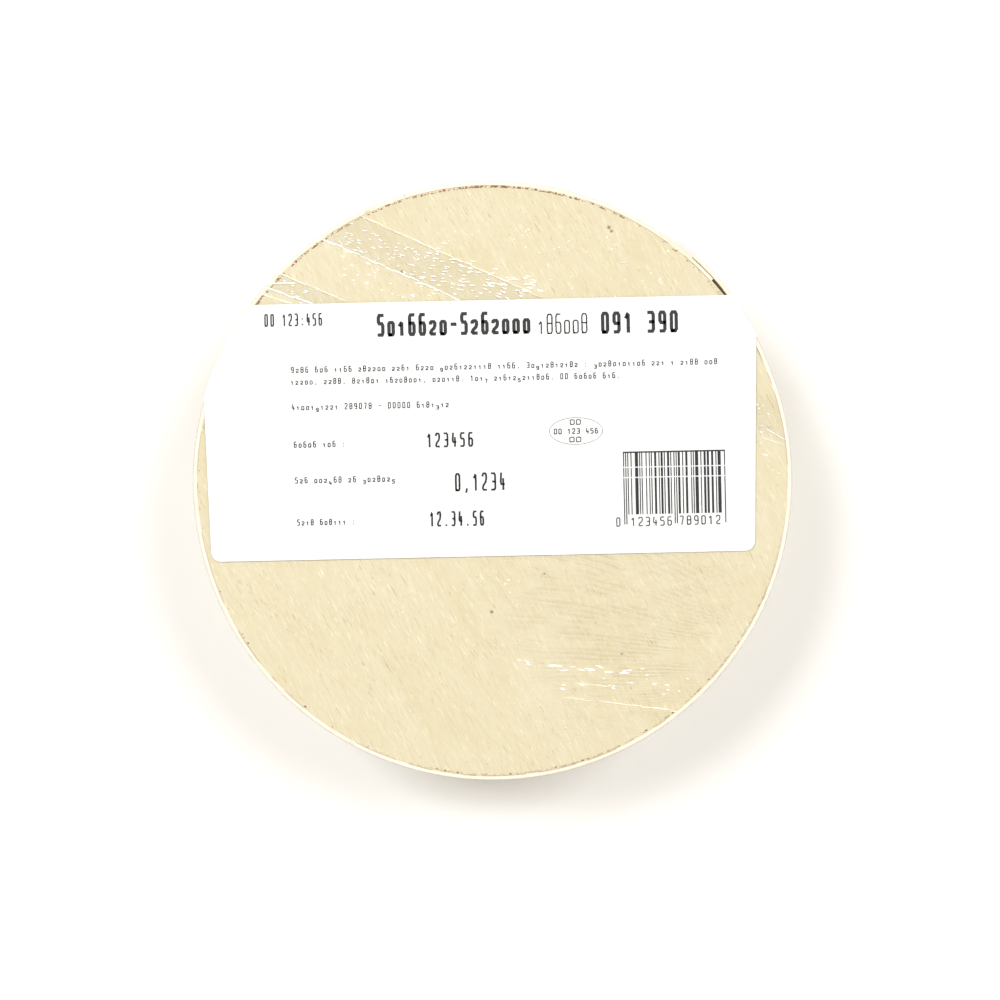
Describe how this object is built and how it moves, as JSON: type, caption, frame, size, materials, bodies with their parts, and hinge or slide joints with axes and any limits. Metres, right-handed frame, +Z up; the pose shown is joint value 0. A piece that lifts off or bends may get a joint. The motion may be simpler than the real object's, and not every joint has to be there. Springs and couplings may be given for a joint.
{
  "type": "boxed cheese wheel",
  "caption": "Soft-ripened cheese wheel in paper, closed in a round thin-wood box with clear film and a plain label over the lid.",
  "frame": {"origin": "centre of the film's underside, which the box rests on", "axes": "+Z up out of the lid, +Y towards the top of the label, +X to the right as the label is read"},
  "size_m": [0.1412, 0.1412, 0.0523],
  "materials": {
    "panel_wood": "peeled poplar veneer, unfinished",
    "hoop_wood": "thin peeled poplar strip, unfinished",
    "clear_film": "clear cling film, glossy and creased",
    "label_paper": "matt white direct-thermal label stock",
    "label_ink": "black thermal print",
    "staple_steel": "galvanised staple wire",
    "wrapping_paper": "waxed white wrapping paper",
    "cheese_rind": "soft white bloomy rind over cream"
  },
  "bodies": {
    "root": {"base_disc": "panel_wood", "base_hoop": "hoop_wood", "lid_disc": "panel_wood", "lid_hoop": "hoop_wood", "cheese_paper": "wrapping_paper", "cheese_wheel": "cheese_rind", "film_wrap": "clear_film", "label": "label_paper", "lid_lap_staple": "staple_steel", "base_lap_staple_1": "staple_steel", "base_lap_staple_2": "staple_steel", "lid_edge_staple_1": "staple_steel", "lid_edge_staple_2": "staple_steel", "lid_edge_staple_3": "staple_steel", "lid_edge_staple_4": "staple_steel", "base_edge_staple_1": "staple_steel", "base_edge_staple_2": "staple_steel", "base_edge_staple_3": "staple_steel", "base_edge_staple_4": "staple_steel"}
  },
  "joints": []
}
